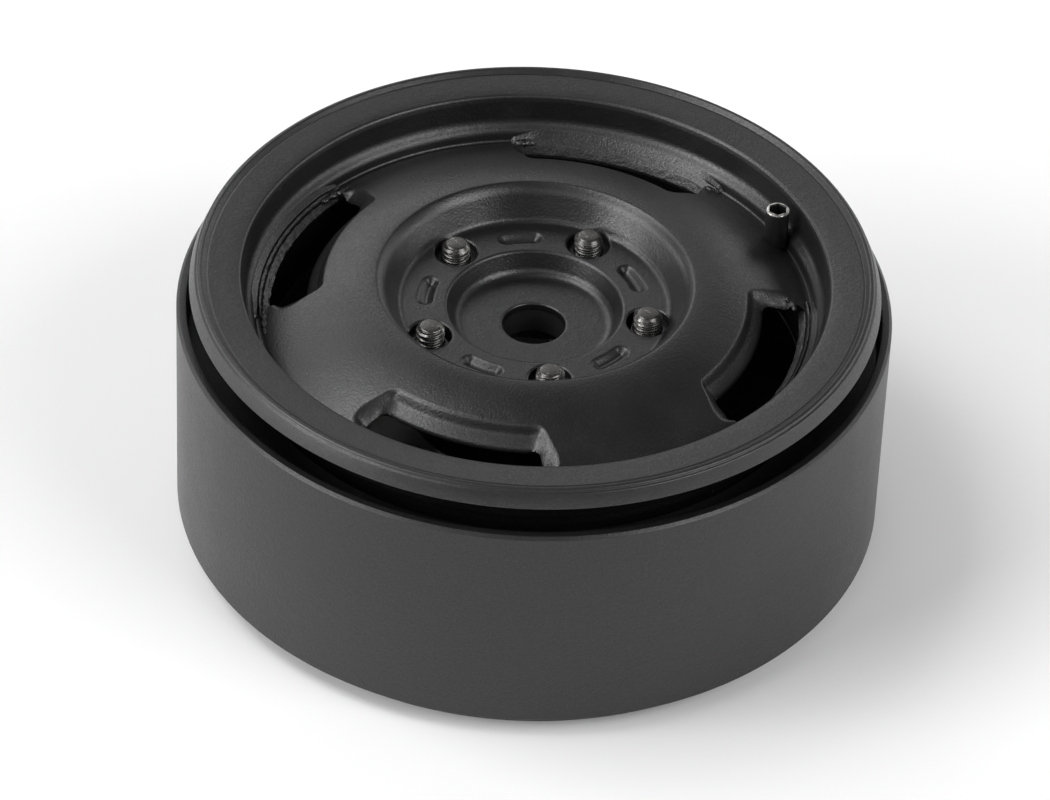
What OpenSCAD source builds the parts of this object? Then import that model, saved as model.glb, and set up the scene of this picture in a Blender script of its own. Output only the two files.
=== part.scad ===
// Scale-model steel wheel with an internal beadlock, lying on its back with its face up.
// Z runs along the axle, out of the face, and Z = 0 is the plane on which the rear flange rests.
// X runs through the valve stem. All sizes are in millimetres.

/* [Rim halves] */
// Height of the wheel over both flanges
wheel_height = 19.8; // [19.6:0.1:20.2]
// Outer radius of each flange
flange_radius = 22.7; // [22.5:0.05:22.75]
// Thickness of each flange at its outer edge
flange_thickness = 1.22; // [1.1:0.02:1.3]
// Radius of the seats that a tyre's beads sit on
bead_seat_radius = 19.8; // [19.7:0.05:19.9]
// Outer radius of the hoop between the bead seats
hoop_radius = 18.8; // [18.7:0.05:18.85]
// Inner radius of the hoop, which the disc is pressed into
hoop_bore_radius = 18.1; // [18.05:0.05:18.15]
// Distance from the split plane to the step behind each bead seat
step_height = 5.5; // [5.4:0.05:5.6]
// Thickness of the inward flange that the clamp screws pull together
clamp_flange_thickness = 1.2; // [1:0.05:1.3]
// Inner radius of the clamp flange
clamp_flange_bore = 12.4; // [12:0.1:12.6]

/* [Beadlock ring] */
// Outer radius of the ring
ring_radius = 23.5; // [23.4:0.05:23.6]
// Wall of the ring's outer band
ring_wall = 0.67; // [0.6:0.01:0.7]
// Width of the ring along the axle
ring_width = 15.67; // [15.5:0.01:15.8]
// Thickness of each flank that backs a tyre bead
flank_thickness = 1.0; // [0.8:0.1:1.2]
// Inner radius of the flanks
flank_bore_radius = 19.1; // [19.05:0.05:19.2]

/* [Disc] */
// Thickness of the pressed sheet
sheet = 0.55; // [0.5:0.01:0.6]
// Radius of the axle bore
axle_bore_radius = 2.05; // [2.02:0.01:2.1]
// Height of the floor that the axle nut sits on
recess_floor_z = 15.2; // [15.1:0.05:15.3]
// Radius of the recess for the axle nut, at its floor
recess_radius = 4.95; // [4.8:0.05:5]
// Height of the flat ring that the studs stand in
stud_ring_z = 16.7; // [16.6:0.05:16.8]
// Height of the ridge round the bowl
ridge_z = 18.93; // [18.85:0.02:19]
// Fall of the disc from its ridge to its skirt
disc_fall = 2.55; // [2.5:0.05:2.6]

/* [Windows and coined slots] */
// Radius of the fold at the inner side of each window
window_fold_radius = 13.85; // [13.8:0.05:13.95]
// Inner radius of each window's opening, where the folded flange ends
window_inner_radius = 14.97; // [14.9:0.01:15.05]
// Outer radius of each window's opening
window_outer_radius = 17.85; // [17.75:0.05:17.85]
// Half of each window's angle at the inner side of its opening
window_half_angle = 20.4; // [19:0.2:21]
// Depth of the folded flange on the inner side
window_flange_depth = 1; // [0.9:0.1:1.2]
// Length of each coined slot
slot_length = 3; // [2.6:0.1:3.2]
// Width of each coined slot
slot_width = 1; // [0.8:0.05:1.05]

/* [Hub and studs] */
// Distance across the flats of the hex pocket, for a 12 mm drive hex
hex_across_flats = 12.1; // [12.05:0.01:12.2]
// Depth of the hex pocket
hex_depth = 3.9; // [3.5:0.1:4]
// Radius of the circle that the studs stand on
stud_circle_radius = 7.55; // [7.5:0.01:7.6]
// Radius of a stud's free end, the outer radius of its M2 thread
stud_radius = 1; // [0.98:0.01:1]
// Radius of the clearance holes in the disc
stud_hole_radius = 1.42; // [1.35:0.01:1.45]
// Height of the studs' free ends
stud_tip_z = 17.47; // [17.4:0.01:17.6]
// Length of a stud
stud_length = 4; // [3.8:0.1:4.1]

/* [Clamp screws] */
// Number of screws that hold the rim halves together
clamp_screw_count = 8; // [4:1:8]
// Radius of the circle that the clamp screws stand on
clamp_circle_radius = 14.6; // [14.5:0.05:14.7]
// Radius of a clamp screw's shank
screw_radius = 0.98; // [0.95:0.01:0.98]
// Length of a clamp screw under its head
screw_length = 3; // [2.8:0.1:3.5]

/* [Valve] */
// Outer radius of the valve stem
valve_radius = 0.79; // [0.76:0.01:0.8]
// Distance of the valve stem from the wheel's axis
valve_distance = 17.85; // [17.8:0.01:17.9]
// Height of the valve stem's open end
valve_tip_z = 19.25; // [19:0.05:19.4]

/* [Hidden] */
$fn = 96;

// rim halves, measured from the split plane at half the wheel's height
half = wheel_height / 2;
flange_under = half - flange_thickness;
lip_edge = 0.08;                  // broken edge at the flange's widest point
lip_crown = 21.85;                // middle of the rounded bead round the lip
lip_crown_half = 0.2;             // half width of the crown's flat top
lip_round = 0.22;
lip_band = half - 0.32;           // the flat band inside the crown
lip_band_outer = 21.05;
lip_band_inner = 19.5;
lip_band_fall = 0.09;
band_round = 0.2;
wall_foot = half - 2.42;          // upper ledge of the stepped inner wall
wall_foot_radius = 19.04;
upper_ledge_inner = 18.5;
upper_ledge = half - 2.84;
lower_ledge_outer = 18.4;
lower_ledge = half - 3.6;         // lower ledge, over the disc's skirt
hoop_edge = half - 3.86;
seat_fillet = 0.3;
step_round = 0.2;

// ring
ring_rest_gap = 0.03;             // room between a flank and the step it rests on
ring_bottom = 1.26;
ring_middle = ring_bottom + ring_width / 2;
flank_reach = ring_middle - (half - step_height) - ring_rest_gap;
ring_chamfer = 0.2;
inner_fillet = 0.3;

// disc
skirt_radius = hoop_bore_radius - 0.02;
skirt_round = 0.22;
skirt_slope = 58;                 // direction in which the slope's end faces, in degrees
skirt_back_round = 0.1;
skirt_bottom = 14.3;
recess_round = 0.4;
recess_edge_round = 0.25;
recess_edge_radius = 5.95;
recess_back_radius = 6.3;         // rear side of the recess wall
bowl_foot_radius = 8.75;
bowl_start = 29;                  // steepness of the bowl's side at its foot, in degrees
bowl_end = 79;                    // steepness at its top
bowl_back_end = 69;
ridge_round = 0.32;
bowl_rise = ridge_z - stud_ring_z - ridge_round * (1 - cos(bowl_end));
bowl_round = bowl_rise / (cos(bowl_start) - cos(bowl_end));
bowl_centre = [bowl_foot_radius - bowl_round * sin(bowl_start), stud_ring_z + bowl_round * cos(bowl_start)];
ridge_radius = bowl_centre[0] + (bowl_round + ridge_round) * sin(bowl_end);
ridge_back_radius = ridge_radius + 0.5;
fall_power = 1.6;
fall_run = 7.45;
fall_steps = 10;
fall_end = skirt_radius - skirt_round * (1 - cos(skirt_slope));

// windows and slots
window_angles = [45, 135, 225, 315];
window_spread = 0.7;              // half angle gained per millimetre outwards
window_flange_shoulder = 0.35;    // the flange is steepest beyond this run from its fold
slot_radius = 7.2;
slot_depth = 0.27;

// hub
hub_bottom = 9;
hub_web_bottom = hub_bottom + hex_depth;
hub_front = stud_ring_z - sheet;
hub_recess = recess_floor_z - sheet;
hub_flange_radius = 9.4;
hub_boss_radius = 8.6;
hub_flange_bottom = 13.1;
hub_step_radius = recess_back_radius + 0.15;
hub_edge = 0.3;

// studs and screws
stud_count = 5;
stud_turn = 36;                   // angle of the first stud
stud_root_radius = 0.78;          // core of the M2 thread
stud_shoulder_z = stud_ring_z + 0.2;
stud_chamfer = 0.15;
tap_room = 0.02;
screw_head_radius = 1.9;
screw_head_height = 2;
screw_socket_flats = 1.5;
screw_socket_depth = 1;
screw_clearance = 0.12;
clamp_underside = half - clamp_flange_thickness;

// valve
valve_spigot_radius = 0.45;
valve_spigot_bottom = 14.6;
valve_shoulder_z = 16.2;
valve_socket_flats = 1.1;
valve_socket_depth = 1.6;
valve_room = 0.03;

through = 1;                      // how far a cutter reaches past a face

// points along an arc round c, from angle a0 to a1
function arc(c, r, a0, a1, n = 5) = [
    for (i = [0 : n])
        let (a = a0 + (a1 - a0) * i / n)
        [c[0] + r * cos(a), c[1] + r * sin(a)]
];

function across_to_corner(flats) = flats / 2 / cos(30);

// height of the disc's outer slope at radius r
function slope_z(r) = ridge_z - disc_fall * pow(max(r - ridge_radius, 0) / fall_run, fall_power);

// one rim half in section, from the split plane up to the lip
function rim_section() = concat(
    [
        [clamp_flange_bore, 0],
        [hoop_radius, 0],
        [hoop_radius, step_height]
    ],
    arc([bead_seat_radius - step_round, step_height + step_round], step_round, -90, 0),
    arc([bead_seat_radius + seat_fillet, flange_under - seat_fillet], seat_fillet, 180, 90),
    [
        [flange_radius - lip_edge, flange_under],
        [flange_radius, flange_under + lip_edge]
    ],
    arc([lip_crown + lip_crown_half, half - lip_round], lip_round, 25, 90),
    arc([lip_crown - lip_crown_half, half - lip_round], lip_round, 90, 150),
    [
        [lip_band_outer, lip_band]
    ],
    arc([lip_band_inner, lip_band - lip_band_fall - band_round], band_round, 90, 174),
    [
        [wall_foot_radius, wall_foot],
        [upper_ledge_inner, upper_ledge],
        [lower_ledge_outer, lower_ledge],
        [hoop_bore_radius, hoop_edge],
        [hoop_bore_radius, clamp_flange_thickness],
        [clamp_flange_bore, clamp_flange_thickness]
    ]
);

module rim_half() {
    rotate_extrude() polygon(rim_section());
}

module at_clamp_screws() {
    for (i = [0 : clamp_screw_count - 1])
        rotate([0, 0, i * 360 / clamp_screw_count])
            translate([clamp_circle_radius, 0, 0])
                children();
}

module at_studs() {
    for (i = [0 : stud_count - 1])
        rotate([0, 0, stud_turn + i * 360 / stud_count])
            translate([stud_circle_radius, 0, 0])
                children();
}

// the room that the valve stem and its spigot need
module valve_hole() {
    translate([valve_distance, 0, valve_spigot_bottom - through])
        cylinder(r = valve_spigot_radius + valve_room, h = 2 * through + 2);
    translate([valve_distance, 0, valve_shoulder_z])
        cylinder(r = valve_radius + valve_room, h = valve_tip_z);
}

module front_rim() {
    color("#1d1d1f")
        difference() {
            translate([0, 0, half])
                rim_half();
            at_clamp_screws()
                translate([0, 0, half - through])
                    cylinder(r = screw_radius + tap_room, h = clamp_flange_thickness + 2 * through);
            valve_hole();
        }
}

module rear_rim() {
    color("#202022")
        difference() {
            translate([0, 0, half])
                mirror([0, 0, 1])
                    rim_half();
            at_clamp_screws()
                translate([0, 0, clamp_underside - through])
                    cylinder(r = screw_radius + screw_clearance, h = clamp_flange_thickness + 2 * through);
        }
}

// channel section: a wide outer band with two flanks that point inward
module beadlock_ring() {
    inner = ring_radius - ring_wall;
    edge = ring_width / 2;
    color("#3a3a3c")
        translate([0, 0, ring_middle])
            rotate_extrude()
                polygon(concat(
                    [
                        [ring_radius, ring_chamfer - edge],
                        [ring_radius, edge - ring_chamfer],
                        [ring_radius - ring_chamfer, edge],
                        [inner, edge]
                    ],
                    arc([inner - inner_fillet, flank_reach + inner_fillet], inner_fillet, 0, -90),
                    [
                        [flank_bore_radius, flank_reach],
                        [flank_bore_radius, flank_reach - flank_thickness],
                        [inner, flank_reach - flank_thickness],
                        [inner, flank_thickness - flank_reach],
                        [flank_bore_radius, flank_thickness - flank_reach],
                        [flank_bore_radius, -flank_reach]
                    ],
                    arc([inner - inner_fillet, -flank_reach - inner_fillet], inner_fillet, 90, 0),
                    [
                        [inner, -edge],
                        [ring_radius - ring_chamfer, -edge]
                    ]
                ));
}

// the disc's face, from the axle bore out to the foot of the skirt
function disc_face() = concat(
    [
        [axle_bore_radius, recess_floor_z]
    ],
    arc([recess_radius, recess_floor_z + recess_round], recess_round, -90, -20),
    arc([recess_edge_radius, stud_ring_z - recess_edge_round], recess_edge_round, 160, 90),
    arc(bowl_centre, bowl_round, bowl_start - 90, bowl_end - 90),
    arc([ridge_radius, ridge_z - ridge_round], ridge_round, 90 + bowl_end, 90),
    [
        for (i = [1 : fall_steps])
            let (r = ridge_radius + (fall_end - ridge_radius) * i / fall_steps)
            [r, slope_z(r)]
    ],
    arc([skirt_radius - skirt_round, slope_z(fall_end) - skirt_round * sin(skirt_slope)],
        skirt_round, skirt_slope, 0),
    [
        [skirt_radius, skirt_bottom]
    ]
);

// the disc's rear side, from the skirt back to the axle bore
function disc_back() = concat(
    [
        [skirt_radius - sheet, skirt_bottom]
    ],
    arc([skirt_radius - sheet - skirt_back_round, slope_z(fall_end) - skirt_round - sheet * 0.6],
        skirt_back_round, 0, skirt_slope),
    [
        for (i = [fall_steps - 1 : -1 : 0])
            let (r = ridge_back_radius + (fall_end - ridge_back_radius) * i / fall_steps)
            [r - sheet * 0.3, slope_z(r) - sheet]
    ],
    arc(bowl_centre, bowl_round + sheet, bowl_back_end - 90, bowl_start - 90),
    [
        [bowl_foot_radius, stud_ring_z - sheet],
        [recess_back_radius, stud_ring_z - sheet],
        [recess_back_radius, recess_floor_z - sheet],
        [axle_bore_radius, recess_floor_z - sheet]
    ]
);

// outline of one window as far in as its fold, centred on the X axis
module window_outline() {
    far = window_outer_radius + 1;
    spread = window_half_angle + window_spread * (far - window_fold_radius);
    inner_x = window_fold_radius * cos(window_half_angle) - 1;
    intersection() {
        difference() {
            circle(r = window_outer_radius);
            circle(r = window_fold_radius);
        }
        polygon([
            [inner_x, -inner_x * tan(window_half_angle)],
            [far * cos(spread), -far * sin(spread)],
            [far + 1, 0],
            [far * cos(spread), far * sin(spread)],
            [inner_x, inner_x * tan(window_half_angle)]
        ]);
    }
}

// flange folded down along the inner side of one window
module window_flange() {
    fold_z = slope_z(window_fold_radius);
    foot_z = slope_z(window_inner_radius) - window_flange_depth;
    rotate([0, 0, -window_half_angle])
        rotate_extrude(angle = 2 * window_half_angle)
            polygon([
                [window_fold_radius - 0.3, slope_z(window_fold_radius - 0.3)],
                [window_fold_radius, fold_z],
                [window_fold_radius + window_flange_shoulder, fold_z - window_flange_shoulder],
                [window_inner_radius, foot_z],
                [window_inner_radius, foot_z - sheet],
                [window_fold_radius - 0.3, fold_z - sheet]
            ]);
}

// curved slot pressed into the stud ring, centred on the X axis
module coined_slot() {
    half_angle = (slot_length - slot_width) / 2 / slot_radius * 180 / PI;
    translate([0, 0, stud_ring_z - slot_depth]) {
        rotate([0, 0, -half_angle])
            rotate_extrude(angle = 2 * half_angle)
                translate([slot_radius - slot_width / 2, 0])
                    square([slot_width, 1]);
        for (side = [-1, 1])
            rotate([0, 0, side * half_angle])
                translate([slot_radius, 0, 0])
                    cylinder(d = slot_width, h = 1);
    }
}

module wheel_disc() {
    color("#1a1a1c") {
        difference() {
            rotate_extrude()
                polygon(concat(disc_face(), disc_back()));
            for (a = window_angles)
                rotate([0, 0, a])
                    translate([0, 0, skirt_bottom - through])
                        linear_extrude(2 * through + 5)
                            window_outline();
            at_studs()
                translate([0, 0, recess_floor_z - 2 * through])
                    cylinder(r = stud_hole_radius, h = 4 * through + 2);
            for (i = [0 : stud_count - 1])
                rotate([0, 0, i * 360 / stud_count])
                    coined_slot();
            valve_hole();
        }
        for (a = window_angles)
            rotate([0, 0, a])
                window_flange();
    }
}

module wheel_hub() {
    color("#161617")
        difference() {
            rotate_extrude()
                polygon([
                    [0, hub_bottom],
                    [hub_boss_radius - hub_edge, hub_bottom],
                    [hub_boss_radius, hub_bottom + hub_edge],
                    [hub_boss_radius, hub_flange_bottom],
                    [hub_flange_radius, hub_flange_bottom],
                    [hub_flange_radius, hub_front],
                    [hub_step_radius, hub_front],
                    [hub_step_radius, hub_recess],
                    [0, hub_recess]
                ]);
            translate([0, 0, hub_bottom - through])
                cylinder(r = axle_bore_radius, h = 10);
            translate([0, 0, hub_bottom - through])
                rotate([0, 0, 30])
                    cylinder(r = across_to_corner(hex_across_flats), h = hex_depth + through, $fn = 6);
            at_studs()
                translate([0, 0, stud_tip_z - stud_length - 2 * tap_room])
                    cylinder(r = stud_root_radius + tap_room, h = stud_length);
        }
}

// headless stud: tapped into the hub, its free end at the thread's full radius
module lug_stud(i) {
    free = stud_tip_z - stud_shoulder_z - stud_chamfer;
    color("#4a4845")
        rotate([0, 0, stud_turn + (i - 1) * 360 / stud_count])
            translate([stud_circle_radius, 0, 0]) {
                translate([0, 0, stud_tip_z - stud_length])
                    cylinder(r = stud_root_radius, h = stud_length - free - stud_chamfer);
                translate([0, 0, stud_shoulder_z])
                    cylinder(r = stud_radius, h = free);
                translate([0, 0, stud_shoulder_z + free])
                    cylinder(r1 = stud_radius, r2 = stud_radius - stud_chamfer, h = stud_chamfer);
            }
}

// socket-head screw, put in from the back of the wheel
module clamp_screw(i) {
    color("#2a2a2c")
        rotate([0, 0, (i - 1) * 360 / clamp_screw_count])
            translate([clamp_circle_radius, 0, clamp_underside])
                difference() {
                    union() {
                        cylinder(r = screw_radius, h = screw_length);
                        translate([0, 0, -screw_head_height])
                            cylinder(r = screw_head_radius, h = screw_head_height);
                    }
                    translate([0, 0, -screw_head_height - through])
                        cylinder(
                            r = across_to_corner(screw_socket_flats),
                            h = screw_socket_depth + through,
                            $fn = 6
                        );
                }
}

// hollow stem on a narrower spigot
module valve_stem() {
    color("#232325")
        translate([valve_distance, 0, 0])
            difference() {
                union() {
                    translate([0, 0, valve_spigot_bottom])
                        cylinder(r = valve_spigot_radius, h = valve_shoulder_z - valve_spigot_bottom + 0.5);
                    translate([0, 0, valve_shoulder_z + valve_room])
                        cylinder(r = valve_radius, h = valve_tip_z - valve_shoulder_z - valve_room);
                }
                translate([0, 0, valve_tip_z - valve_socket_depth])
                    cylinder(
                        r = across_to_corner(valve_socket_flats),
                        h = valve_socket_depth + through,
                        $fn = 6
                    );
            }
}

front_rim();
wheel_disc();
beadlock_ring();
rear_rim();
wheel_hub();
valve_stem();
for (i = [1 : stud_count])
    lug_stud(i);
for (i = [1 : clamp_screw_count])
    clamp_screw(i);
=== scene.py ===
# The looks of a scale-model steel wheel with an internal beadlock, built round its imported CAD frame.
# Lengths below are in millimetres and angles in degrees unless a line says otherwise.
import math
from collections import namedtuple

import bmesh
import bpy
import numpy as np
from mathutils import Matrix, Vector, noise


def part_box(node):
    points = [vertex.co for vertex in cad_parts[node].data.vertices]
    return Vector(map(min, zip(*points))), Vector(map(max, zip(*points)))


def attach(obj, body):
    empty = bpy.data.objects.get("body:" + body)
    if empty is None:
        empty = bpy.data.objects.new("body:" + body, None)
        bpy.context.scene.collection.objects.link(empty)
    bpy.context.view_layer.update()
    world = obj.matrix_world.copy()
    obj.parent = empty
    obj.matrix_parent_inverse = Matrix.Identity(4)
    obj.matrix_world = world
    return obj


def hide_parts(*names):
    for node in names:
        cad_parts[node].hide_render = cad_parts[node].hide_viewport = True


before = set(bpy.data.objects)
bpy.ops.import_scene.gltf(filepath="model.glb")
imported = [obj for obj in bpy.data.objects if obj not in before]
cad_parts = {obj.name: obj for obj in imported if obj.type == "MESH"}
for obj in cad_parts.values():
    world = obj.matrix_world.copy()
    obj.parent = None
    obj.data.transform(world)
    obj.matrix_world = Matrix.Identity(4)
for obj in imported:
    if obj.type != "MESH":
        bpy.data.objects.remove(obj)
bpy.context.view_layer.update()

MM = 0.001


def box_mm(node):
    low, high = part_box(node)
    return low / MM, high / MM


# Sizes taken from the frame
front_low, front_high = box_mm("front_rim")
ring_low, ring_high = box_mm("beadlock_ring")
disc_low, disc_high = box_mm("wheel_disc")
hub_low, hub_high = box_mm("wheel_hub")
valve_low, valve_high = box_mm("valve_stem")

SPLIT_Z = front_low.z
HALF = front_high.z - front_low.z
FLANGE_R = front_high.x
RING_R = ring_high.x
RING_EDGE = (ring_high.z - ring_low.z) / 2
RING_MIDDLE = (ring_high.z + ring_low.z) / 2
SKIRT_R = disc_high.x
SKIRT_BOTTOM = disc_low.z
RIDGE_Z = disc_high.z
HUB_BOTTOM = hub_low.z
HUB_FRONT = hub_high.z
HUB_R = hub_high.x
VALVE_X = (valve_low.x + valve_high.x) / 2
VALVE_R = (valve_high.x - valve_low.x) / 2
STUDS = [f"lug_stud_{i}" for i in range(1, 6)]
SCREWS = [f"clamp_screw_{i}" for i in range(1, 9)]

# Sizes of the design that its boxes don't give
SHEET = 0.55                     # the disc's thickness
AXLE_R = 2.05
FLOOR_Z = 15.2                   # the floor of the recess round the axle bore
STUD_RING_Z = 16.7               # the flat ring that the studs stand through
STUD_CIRCLE = 7.55
STUD_TURN = 36
STUD_HOLE_R = 1.42
HOOP_BORE = 18.1
HOOP_R = 18.8
SEAT_R = 19.8
STEP = 5.5                       # from the split plane to the bead seat
FLANGE_T = 1.22
CLAMP_BORE = 12.4
CLAMP_FLANGE = 1.2
CLAMP_CIRCLE = 14.6
CLAMP_TAPPED_R = 1.0
CLAMP_CLEAR_R = 1.1
RING_WALL = 0.67
RING_CHAMFER = 0.2
FLANK_BORE = 19.1
FLANK_T = 1.0
STUD_ROOM = 0.04                 # inside a stud's box, and below its foot
FLANK_GAP = 0.03                 # between a flank of the ring and the step it lies on
HEX_FLATS = 12.1
HEX_DEPTH = 3.9
HUB_COLLAR = 4.1                 # from the hub's rear to its wider front part
HUB_RECESS_R = 6.45
VALVE_NECK = 1.6                 # from the stem's foot to the hole for its wide part
VALVE_ROOM = 0.03
TURNS = 288                      # steps round a turned part
BELOW, ABOVE = 12.0, 22.0        # heights under and over the disc, between which cutters pass through


# ---------------------------------------------------------------- mesh helpers

def new_object(name, verts, faces, smooth_angle=38):
    mesh = bpy.data.meshes.new(name)
    mesh.from_pydata([Vector(v) * MM for v in verts], [], faces)
    mesh.validate()
    obj = bpy.data.objects.new(name, mesh)
    bpy.context.scene.collection.objects.link(obj)
    finish_mesh(obj, smooth_angle)
    return obj


def finish_mesh(obj, smooth_angle=38):
    """Outward normals, and smooth shading up to an edge angle."""
    mesh = obj.data
    bm = bmesh.new()
    bm.from_mesh(mesh)
    bmesh.ops.recalc_face_normals(bm, faces=bm.faces)
    bm.to_mesh(mesh)
    bm.free()
    mesh.polygons.foreach_set("use_smooth", [True] * len(mesh.polygons))
    mesh.set_sharp_from_angle(angle=math.radians(smooth_angle))
    mesh.update()


def rounded(corners, steps=5):
    """A closed outline from (r, z, fillet radius) corners, each fillet an arc."""
    out = []
    count = len(corners)
    for i, (x, y, radius) in enumerate(corners):
        p = Vector((x, y))
        before = Vector(corners[i - 1][:2]) - p
        after = Vector(corners[(i + 1) % count][:2]) - p
        if radius <= 0 or before.length < 1e-9 or after.length < 1e-9:
            out.append((x, y))
            continue
        half = before.angle(after) / 2
        if half > math.radians(89):
            out.append((x, y))
            continue
        reach = min(radius / math.tan(half), before.length * 0.49, after.length * 0.49)
        radius = reach * math.tan(half)
        bisector = (before.normalized() + after.normalized()).normalized()
        centre = p + bisector * (radius / math.sin(half))
        start = p + before.normalized() * reach - centre
        end = p + after.normalized() * reach - centre
        a0 = math.atan2(start.y, start.x)
        sweep = math.atan2(start.x * end.y - start.y * end.x, start.dot(end))
        for k in range(steps + 1):
            a = a0 + sweep * k / steps
            out.append((centre.x + radius * math.cos(a), centre.y + radius * math.sin(a)))
    return out


def even_angles(count):
    return [2 * math.pi * k / count for k in range(count)]


def revolve(name, outline, angles=None, shift=None, smooth_angle=38):
    """A body of revolution round Z. shift(r, angle, z, index) may move each point."""
    angles = angles or even_angles(TURNS)
    turns = len(angles)
    verts = []
    for angle in angles:
        c, s = math.cos(angle), math.sin(angle)
        for k, (r, z) in enumerate(outline):
            if shift:
                r, z = shift(r, angle, z, k)
            verts.append((r * c, r * s, z))
    n = len(outline)
    faces = []
    for t in range(turns):
        base, following = t * n, (t + 1) % turns * n
        for k in range(n):
            m = (k + 1) % n
            faces.append((base + k, following + k, following + m, base + m))
    return new_object(name, verts, faces, smooth_angle)


def prism(name, outline, z0, z1):
    """An upright prism over a closed (x, y) outline."""
    n = len(outline)
    verts = [(x, y, z0) for x, y in outline] + [(x, y, z1) for x, y in outline]
    faces = [list(range(n))[::-1], list(range(n, 2 * n))]
    faces += [(k, (k + 1) % n, n + (k + 1) % n, n + k) for k in range(n)]
    return new_object(name, verts, faces)


def polar(r, angle):
    return r * math.cos(angle), r * math.sin(angle)


def circle_outline(x, y, radius, steps=64, turn=0.0):
    return [(x + radius * math.cos(turn + 2 * math.pi * k / steps),
             y + radius * math.sin(turn + 2 * math.pi * k / steps)) for k in range(steps)]


def hexagon_outline(x, y, across_flats, turn):
    return circle_outline(x, y, across_flats / 2 / math.cos(math.pi / 6), 6, turn)


def turned(points, angle):
    c, s = math.cos(angle), math.sin(angle)
    return [(x * c - y * s, x * s + y * c) for x, y in points]


def joined(objs):
    """Several cutters as one object."""
    verts, faces = [], []
    for o in objs:
        start = len(verts)
        verts += [tuple(v.co / MM) for v in o.data.vertices]
        faces += [[start + k for k in p.vertices] for p in o.data.polygons]
        bpy.data.objects.remove(o)
    return new_object("cutters", verts, faces)


def cut(obj, cutter, smooth_angle=38):
    """obj less cutter, with the result written into obj's mesh."""
    mod = obj.modifiers.new("cut", "BOOLEAN")
    mod.operation = "DIFFERENCE"
    mod.solver = "MANIFOLD"
    mod.object = cutter
    bpy.context.view_layer.update()
    solid = obj.evaluated_get(bpy.context.evaluated_depsgraph_get())
    mesh = bpy.data.meshes.new_from_object(solid)
    obj.modifiers.clear()
    obj.data = mesh
    bpy.data.objects.remove(cutter)
    finish_mesh(obj, smooth_angle)


def valve_hole(bottom, top):
    return prism("hole", circle_outline(VALVE_X, 0, VALVE_R + VALVE_ROOM, 48), bottom, top)


def smoothstep(low, high, x):
    t = min(max((x - low) / (high - low), 0.0), 1.0)
    return t * t * (3 - 2 * t)


# ---------------------------------------------------------------- materials

class Nodes:
    """Short calls for building one material."""

    def __init__(self, name):
        self.material = bpy.data.materials.new(name)
        self.material.use_nodes = True
        self.tree = self.material.node_tree
        self.shader = self.tree.nodes["Principled BSDF"]
        coords = self.tree.nodes.new("ShaderNodeTexCoord")
        self.place = coords.outputs["Object"]

    def node(self, kind, **settings):
        made = self.tree.nodes.new(kind)
        for key, value in settings.items():
            setattr(made, key, value)
        return made

    def link(self, source, target):
        self.tree.links.new(source, target)

    def noise(self, size_mm, detail=2.0, rough=0.5):
        n = self.node("ShaderNodeTexNoise")
        n.inputs["Scale"].default_value = 1 / (size_mm * MM)
        n.inputs["Detail"].default_value = detail
        n.inputs["Roughness"].default_value = rough
        self.link(self.place, n.inputs["Vector"])
        return n.outputs["Fac"]

    def spread(self, source, low, high, to_low, to_high):
        n = self.node("ShaderNodeMapRange")
        n.inputs["From Min"].default_value = low
        n.inputs["From Max"].default_value = high
        n.inputs["To Min"].default_value = to_low
        n.inputs["To Max"].default_value = to_high
        self.link(source, n.inputs["Value"])
        return n.outputs["Result"]

    def vary(self, source, to_low, to_high):
        """The usual range of a noise's values, spread over another range."""
        return self.spread(source, 0.3, 0.7, to_low, to_high)

    def math(self, operation, a, b):
        n = self.node("ShaderNodeMath", operation=operation)
        for socket, value in zip(n.inputs, (a, b)):
            if isinstance(value, (int, float)):
                socket.default_value = value
            else:
                self.link(value, socket)
        return n.outputs[0]

    def mix(self, factor, a, b):
        n = self.node("ShaderNodeMix", data_type="RGBA")
        for socket, value in zip((n.inputs[0], n.inputs[6], n.inputs[7]), (factor, a, b)):
            if isinstance(value, (int, float)):
                socket.default_value = value
            elif isinstance(value, tuple):
                socket.default_value = (*value, 1.0)
            else:
                self.link(value, socket)
        return n.outputs[2]

    def bump(self, layers):
        """layers of (height source, depth in mm), one bump on top of the other."""
        normal = None
        for height, depth in layers:
            n = self.node("ShaderNodeBump")
            n.inputs["Strength"].default_value = 1.0
            n.inputs["Distance"].default_value = depth * MM
            self.link(height, n.inputs["Height"])
            if normal:
                self.link(normal, n.inputs["Normal"])
            normal = n.outputs["Normal"]
        self.link(normal, self.shader.inputs["Normal"])

    def specks(self, cell_mm, share, size):
        """Sparse round specks: 1 inside a speck, else 0. share is how many cells hold one."""
        cells = self.node("ShaderNodeTexVoronoi", feature="F1")
        cells.inputs["Scale"].default_value = 1 / (cell_mm * MM)
        self.link(self.place, cells.inputs["Vector"])
        split = self.node("ShaderNodeSeparateColor")
        self.link(cells.outputs["Color"], split.inputs[0])
        chosen = self.math("LESS_THAN", split.outputs[0], share)
        radius = self.spread(split.outputs[1], 0, 1, size * 0.4, size)
        near = self.math("LESS_THAN", cells.outputs["Distance"], radius)
        return self.math("MULTIPLY", chosen, near)

    def finish(self, color, rough, metallic=0.0, specular=0.5):
        for name, value in (("Base Color", color), ("Roughness", rough)):
            socket = self.shader.inputs[name]
            if isinstance(value, (int, float)):
                socket.default_value = value
            elif isinstance(value, tuple):
                socket.default_value = (*value, 1.0)
            else:
                self.link(value, socket)
        self.shader.inputs["Metallic"].default_value = metallic
        self.shader.inputs["Specular IOR Level"].default_value = specular
        return self.material


DUST = (0.16, 0.16, 0.155)


def scaled(tone, factor):
    return tuple(c * factor for c in tone)


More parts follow.
